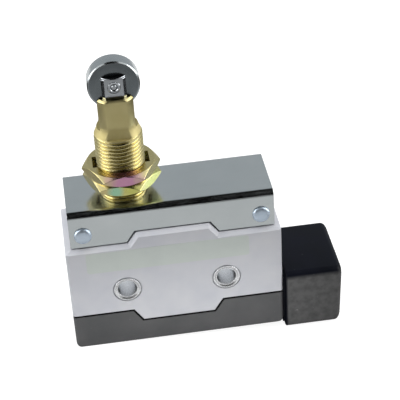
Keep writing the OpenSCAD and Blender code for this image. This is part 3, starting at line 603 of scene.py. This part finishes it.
def bushing():
    """Threaded sleeve and the two prongs of its neck. The thread is a strip, one pitch of a V
    profile wide, that climbs a pitch per turn, so that each turn closes against the next; its
    depth fades to nothing at both ends. Turned profiles close it below and above, the upper one
    cut down to the two flats, which run out along a circle. Each prong carries one closed
    outline, an outer arc cut by the flat and an inner arc, straight up."""
    thread_r, pitch, depth, sheet = 6.0, 1.0, 0.58, 1
    seat_r, seat_top, chamber_r, guide_r, stop_z = 7.2, cover_high[2] - sheet, 4.4, 3.85, 52.0
    flats_z, flat_y, neck_r, shoulder_top = 57.46, 4.3, 5.0, 59.7
    slot_z, slot_y, root, sunk = 59.15, 2.5, 0.6, 0.1
    ease_low, ease_high = 59.4, 60.3
    seat_z, neck_top, rim_bevel, flat_bevel = bushing_low[2], bushing_high[2], 0.45, 0.2
    fade, lead, steps = 0.3, 0.28, 120
    run_r, run_z = 13.0, flats_z + 3.4

    def shoulder(z):
        """Radius of the shoulder, which flares from the neck to the thread with the power of one
        and a half."""
        share = np.clip((shoulder_top - z) / (shoulder_top - thread_top), 0, 1)
        return neck_r + (thread_r - neck_r) * share ** 1.5

    def flat_of(z):
        """Distance of the flats from the axis: below run_z they run out along the round of the
        cutter."""
        return flat_y + run_r - np.sqrt(run_r ** 2 - np.maximum(run_z - z, 0) ** 2)

    # Thread: places across one pitch, and how deep the V is there
    across = np.array([
        0, 0.05, 0.08, 0.12, 0.38, 0.42, 0.46, 0.54, 0.58, 0.62, 0.88, 0.92, 0.95, 1])
    notch = np.array([0, 0, 0.04, 0.13, 0.87, 0.96, 1, 1, 0.96, 0.87, 0.13, 0.04, 0, 0])
    turns = math.ceil((flats_z - seat_top) / pitch) + 2
    count = np.arange(turns * steps + 1)
    angle = 2 * np.pi * (count % steps) / steps
    height = seat_top + lead + pitch * (count[:, None] / steps - 2 + across)
    height = np.clip(height, seat_top, flats_z)
    ends = np.clip(np.minimum(height - seat_top, flats_z - height) / fade, 0, 1)
    radius = np.minimum(thread_r - depth * notch * ends, shoulder(height))
    x, y = radius * np.cos(angle)[:, None], radius * np.sin(angle)[:, None]
    strip = np.stack([axis_x + x, y, height], axis=-1)

    # Shoulder above the thread, then down the bore and round the seat to the thread's foot
    angle = 2 * np.pi * np.arange(steps) / steps
    cone = np.linspace(flats_z, slot_z, 8)
    to_flat = flat_of(cone)[:, None] / np.maximum(np.abs(np.sin(angle)), 1e-6)
    flat_r = np.minimum(shoulder(cone)[:, None], to_flat)
    bore_z = np.array([slot_z, stop_z, stop_z, seat_z, seat_z, seat_top, seat_top])
    bore_r = np.array([guide_r, guide_r, chamber_r, chamber_r, seat_r, seat_r, thread_r])
    ring_r = np.concatenate([[shoulder(flats_z) + 0 * angle], flat_r, bore_r[:, None] + 0 * angle])
    ring_z = np.concatenate([[flats_z], cone, bore_z])[:, None] + 0 * angle
    rest = np.stack([axis_x + ring_r * np.cos(angle), ring_r * np.sin(angle), ring_z], axis=-1)
    rest = np.concatenate([rest, rest[:, :1]], axis=1)

    # Prongs: rows of the stem, sunk into the shoulder, and rows of the rim, counted in bevels
    # below its top and in from its side
    foot = slot_z - root
    stem_z = [foot, foot, slot_z, slot_z, ease_low, shoulder_top, ease_high, run_z]
    stem_in = [sunk, sunk, sunk, 0, 0, 0, 0, 0]
    rim_drop = rim_bevel * np.array([5, 1.15, 1, 0.85, 0.1, 0, 0])
    rim_in = rim_bevel * np.array([0, 0, 0.03, 0.15, 0.9, 1, 1])
    level = np.concatenate([stem_z, neck_top - rim_drop])
    inset = np.concatenate([stem_in, rim_in])
    stem_r = shoulder(level) - inset
    stem_flat = flat_of(level) - np.where(level > slot_z, flat_bevel, 1) * inset
    outer_angle = arc_above(slot_y, stem_r[:, None])
    outer_r = np.minimum(stem_r[:, None], stem_flat[:, None] / np.sin(outer_angle))
    inner_angle = arc_above(slot_y, guide_r) + 0 * outer_angle
    outer = np.stack([outer_r * np.cos(outer_angle), outer_r * np.sin(outer_angle)], axis=-1)
    inner = guide_r * np.stack([np.cos(inner_angle), np.sin(inner_angle)], axis=-1)
    prongs = [standing(outer, inner, level, side) for side in (-1, 1)]
    piece(
        "bushing_body", [strip, rest, *prongs], "housing", gold_bushing,
        ["bushing"], sharp=28, loop_rows=False, loop_columns=False)


bushing()
softened("lower_lock_nut", gold_lower, 0.12)
softened("upper_lock_nut", gold_upper, 0.12)
softened("plunger", steel, 0.1)


def crowns():
    """Round rims that the flats leave on top of the fork's cheeks: segments of a disc, cut off
    beside the roller, whose upper edge is a quarter circle."""
    radius, rise, edge, proud, clearance = 3.76, 0.6, 0.18, 0.04, 0.17
    chord_y = roller_high[1] + clearance
    top = span("plunger")[1][2] + proud
    swing = np.linspace(0, np.pi / 2, 7)
    level = np.concatenate([[top - rise, top - rise], top - edge * (1 - np.sin(swing)), [top]])
    edge_r = radius - np.concatenate([[0, 0], edge * (1 - np.cos(swing)), [edge]])[:, None]
    angle = arc_above(chord_y, edge_r)
    outer = np.stack([edge_r * np.cos(angle), edge_r * np.sin(angle)], axis=-1)
    inner = np.stack([outer[..., 0], np.full(angle.shape, chord_y)], axis=-1)
    grids = [standing(outer, inner, level, side) for side in (-1, 1)]
    piece(
        "plunger_crowns", grids, "plunger_fork", steel, (), sharp=40,
        loop_rows=False, loop_columns=False)


crowns()


def roller():
    """Roller: a ring with bevelled rim edges, turned about the axle, with each corner eased."""
    half, rim = roller_high[1], roller_r
    bore, bevel, shallow, bore_edge, rim_edge = 1.6, 0.34, 0.3, 0.1, 0.08
    corners = [
        (bore, -half), (rim - bevel, -half), (rim, shallow - half),
        (rim, half - shallow), (rim - bevel, half), (bore, half)]
    profile = eased(corners, [bore_edge, *[rim_edge] * 4, bore_edge], 4)
    piece(
        "steel_roller", [turned_y(profile, axis_x, axle_z, 160)], "roller_wheel",
        roller_steel, ["roller"], sharp=50)


roller()


def axle():
    """Axle pin: a shaft with a staked ring groove in each end, turned about Y."""
    low, high = span("roller_axle")
    r, end = (high[2] - low[2]) / 2, high[1]
    dish, groove, burr, edge = 0.05, 0.3, 0.02, 0.12
    side = np.array([
        (0, end - dish), (0.35 * r, end - dish), (0.5 * r, end - groove), (0.65 * r, end - burr),
        (0.9 * r, end), (r, end - edge)])
    profile = np.concatenate([side, side[::-1] * (1, -1)])
    piece(
        "axle_pin", [turned_y(profile, axis_x, axle_z)], "plunger_fork", steel,
        ["roller_axle"], sharp=40, loop_rows=False)


axle()


def coil(node, body, radius, gauge, turns):
    """Spring wire: a circle carried along a helix and closed at both ends."""
    per_turn, around = 40, 12
    low, high = span(node)
    share = np.linspace(0, 1, turns * per_turn)
    angle = 2 * np.pi * turns * share
    height = low[2] + gauge / 2 + (high[2] - low[2] - gauge) * share
    section = np.linspace(0, 2 * np.pi, around, endpoint=False)
    size = np.full(len(share), gauge / 2)
    size[[0, -1]] = 0
    r = radius + size[:, None] * np.cos(section)
    z = height[:, None] + size[:, None] * np.sin(section)
    x, y = r * np.cos(angle)[:, None], r * np.sin(angle)[:, None]
    grid = np.stack([axis_x + x, y, z], axis=-1)
    made = piece(
        node + "_wire", [grid], body, wire, [node], sharp=60, loop_rows=False)
    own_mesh(made)


coil("return_spring", "housing", radius=3.6, gauge=0.7, turns=6)
coil(
    "overtravel_spring", "plunger_fork", radius=1.75, gauge=0.5, turns=8)


def boot():
    """Terminal boot: rounded rectangles carried along X from the mouth over the recessed neck and
    the outside, round the end into the cable hole, and back along the inside. The end leans out
    at its top."""
    neck, recess, neck_corner, edge, lip, wall, lean = 0.65, 1.1, 0.8, 1.6, 0.4, 1.6, 0.3
    room_y, room_low, room_high, room_corner = 9.3, 0.2, 13.6, 0.3
    hole_r, hole_z, hole_edge, edge_mid = 3.9, 8.2, 0.4, 0.1
    x0, x1, x2 = boot_low[0], boot_low[0] + neck, boot_high[0]
    half_y, half_z = (boot_high[1] - boot_low[1]) / 2, (boot_high[2] - boot_low[2]) / 2
    mid_z = (boot_high[2] + boot_low[2]) / 2
    room_z, room_mid = (room_high - room_low) / 2, (room_high + room_low) / 2
    neck_y, neck_z = half_y - recess, half_z - recess
    swing = np.linspace(0, np.pi / 2, 9)
    lip_in, lip_x = lip * (1 - np.sin(swing)), x1 + lip * (1 - np.cos(swing))
    end_in, end_x = edge * (1 - np.cos(swing)), x2 - edge * (1 - np.sin(swing))
    hole = [
        (x2, hole_r + hole_edge), (x2 - edge_mid, hole_r + edge_mid), (x2 - hole_edge, hole_r),
        (x2 - wall, hole_r)]
    # Each row: place along X, half its width and height, its corners' radius, its middle's height
    rows = [(x0, room_y, room_z, room_corner, room_mid)]
    rows += [(x, neck_y, neck_z, neck_corner, mid_z) for x in (x0, x1)]
    rows += [(x, half_y - i, half_z - i, edge - 0.5 * i, mid_z) for x, i in zip(lip_x, lip_in)]
    rows += [(x, half_y - i, half_z - i, edge, mid_z) for x, i in zip(end_x, end_in)]
    rows += [(x, r, r, r, hole_z) for x, r in hole]
    rows += [(x2 - wall, room_y, room_z, room_corner, room_mid)]
    ring = np.array(rows)
    y, z = rounded_rings(ring[:, 1], ring[:, 2], ring[:, 3])
    z = z + ring[:, 4:]
    along = np.interp(ring[:, 0], [x0, x1, x2], [0, 0.5, 1])
    x = ring[:, :1] + lean * along[:, None] * (z - mid_z) / half_z
    grid = np.stack([x, y, z], axis=-1)
    piece(
        "rubber_boot", [grid], "boot", sheen_painted_rubber, ["terminal_boot"],
        sharp=40)


boot()


# Studio

def floor_z(x):
    """Height of the floor, which the part touches with the base's far lower edge and the boot's
    lower edge, each a little in from the end."""
    base_in, boot_in = 1.5, 2.6
    base_x, boot_x = base_low[0] + base_in, boot_low[0] + boot_in
    return base_low[2] + (boot_low[2] - base_low[2]) * (x - base_x) / (boot_x - base_x)


def card(name, points, shade, cells=((0, 1, 2, 3),)):
    """Studio card that only reflections see: points in metres, and the corners of its faces."""
    mesh = bpy.data.meshes.new(name)
    mesh.from_pydata(points, [], cells)
    material, tree = start_material(name)
    glow = add(tree, "Emission", {"Color": linear(shade), "Strength": 1.0})
    add(tree, "OutputMaterial", {"Surface": glow.outputs[0]})
    mesh.materials.append(material)
    made = put(name, mesh)
    made.visible_camera = False
    made.visible_diffuse = False
    made.visible_shadow = False


def spread(half, start, end):
    """Corners of a card that reaches half to each side, between edges at two places in Y and Z,
    in metres."""
    return [(-half, *start), (half, *start), (half, *end), (-half, *end)]


card("rear_card", spread(1.2, (0.7, -0.1), (0.7, 0.8)), "bcc0c3")
card("overhead_card", spread(0.3, (-0.7, 0.7), (0.7, 0.8)), "050505")
card("front_card", spread(0.9, (-0.7, 0.03), (-0.7, 0.7)), "050505")
# White close behind the eyelets, which their bores mirror
card("bore_card", spread(0.03, (0.03, 0.02), (0.03, 0.042)), "ffffff")


def floor():
    """White paper under the part, which the camera sees lifted to the white around it."""
    reach, fibre, lift = 1500.0, 3, 0.92
    ends = ((-reach, -reach), (reach, -reach), (reach, reach), (-reach, reach))
    corners = [(x, y, floor_z(x)) for x, y in ends]
    mesh = bpy.data.meshes.new("floor")
    mesh.from_pydata(np.array(corners) * MM, [], [(0, 1, 2, 3)])
    material, tree = start_material("white_paper_floor")
    place = add(tree, "TexCoord").outputs["Object"]
    cloud = add(tree, "TexNoise", {"Vector": place, "Scale": per_mm(fibre), "Detail": 3.0})
    paper = add(
        tree, "Mix", {
            MIX_FACTOR: cloud.outputs[0], MIX_A: linear("8a8a8a"), MIX_B: linear("929292")},
        data_type="RGBA").outputs[MIX_COLOUR]
    matt = add(tree, "BsdfDiffuse", {"Color": paper})
    seen = add(tree, "LightPath").outputs["Is Camera Ray"]
    lifted = add(tree, "MapRange", {"Value": seen, "To Max": lift})
    glow = add(tree, "Emission", {"Strength": lifted.outputs[0]})
    both = add(tree, "AddShader", {0: matt.outputs[0], 1: glow.outputs[0]})
    add(tree, "OutputMaterial", {"Surface": both.outputs[0]})
    mesh.materials.append(material)
    made = put("floor", mesh)


floor()


def flag(name, start, end, near, far, shade):
    """Card just over the floor, a part of a ring about the plunger: from one bearing to another,
    in degrees from the front towards the right, between two distances in millimetres."""
    rise, steps = 2, 25
    bearing = np.radians(np.linspace(start, end, steps))[None, :]
    distance = np.array([[near], [far]])
    x, y = axis_x + distance * np.sin(bearing), -distance * np.cos(bearing)
    points = np.stack([x, y, floor_z(x) + rise], axis=-1).reshape(-1, 3) * MM
    card(name, points, shade, quads(2, steps, False, False))


flag("left_flag", -125, -70, 110, 330, "181818")
flag("right_flag", 70, 125, 112, 330, "181818")
flag("front_flag", -55, 55, 32, 119, "d8d8d8")
flag("rear_flag", 130, 230, 22, 600, "ffffff")


def surround():
    """White round the part for the eye and its reflections, and a soft grey light for everything
    else."""
    soft, full = 0.1, 1.0
    world = bpy.data.worlds.new("studio")
    bpy.context.scene.world = world
    world.use_nodes = True
    tree = world.node_tree
    tree.nodes.clear()
    path = add(tree, "LightPath").outputs
    seen = path["Is Camera Ray"]
    for ray in ("Is Glossy Ray", "Is Transmission Ray"):
        seen = add(tree, "Math", {0: seen, 1: path[ray]}, operation="MAXIMUM").outputs[0]
    level = add(tree, "MapRange", {"Value": seen, "To Min": soft, "To Max": full})
    sky = add(tree, "Background", {"Color": (1, 1, 1, 1), "Strength": level.outputs[0]})
    add(tree, "OutputWorld", {"Surface": sky.outputs[0]})


surround()


def aimed(place, turn):
    """Matrix of an object at a place in millimetres, with its three directions as columns."""
    return Matrix.Translation(np.array(place) * MM) @ Matrix(turn.tolist()).to_4x4()


def lamp(name, place, aim, size, power, mirrored=True):
    """Softbox at a place, turned to a point, with its width and height, all in millimetres."""
    light = bpy.data.lights.new(name, "AREA")
    light.shape = "RECTANGLE"
    light.size, light.size_y = size[0] * MM, size[1] * MM
    light.energy = power
    way = np.array(aim, float) - np.array(place, float)
    back = -way / np.linalg.norm(way)
    side = np.cross((0, 0, 1), back)
    side /= np.linalg.norm(side)
    made = put(name, light)
    made.matrix_world = aimed(place, np.column_stack([side, np.cross(back, side), back]))
    made.visible_camera = False
    made.visible_glossy = mirrored


MIDDLE = (0, 0, 35)
SOFTBOX = (400, 400)
lamp("left_softbox", (-520, -30, 205), MIDDLE, SOFTBOX, 2.0)
lamp("right_softbox", (520, -60, 205), MIDDLE, SOFTBOX, 2.0)
lamp("overhead_fill", (-20, -60, 690), MIDDLE, SOFTBOX, 4.2, mirrored=False)
lamp("rear_fill", (0, 500, 380), MIDDLE, SOFTBOX, 1.2, mirrored=False)
# Low light that brightens the foot of the front face
lamp("low_strip", (-24, -38, 2), (-24, -10, 10), (120, 10), 0.0185, mirrored=False)


def camera():
    """Camera of the picture: its place in millimetres, the way it looks as yaw and pitch, and the
    roll about that way."""
    place, lens, sensor, nearest = (-22.19, -288.06, 230.06), 123.93, 36, 0.01
    yaw, pitch, roll = math.radians(6.03), math.radians(34.09), math.radians(3.57)
    forward = np.array([
        math.sin(yaw) * math.cos(pitch), math.cos(yaw) * math.cos(pitch), -math.sin(pitch)])
    level = np.array([math.cos(yaw), -math.sin(yaw), 0])
    right = math.cos(roll) * level + math.sin(roll) * np.cross(forward, level)
    data = bpy.data.cameras.new("camera")
    data.sensor_width = sensor
    data.lens = lens
    data.clip_start = nearest
    made = put("camera", data)
    made.matrix_world = aimed(place, np.column_stack([right, np.cross(right, forward), -forward]))
    bpy.context.scene.camera = made


camera()
bpy.context.scene.view_settings.view_transform = "Standard"
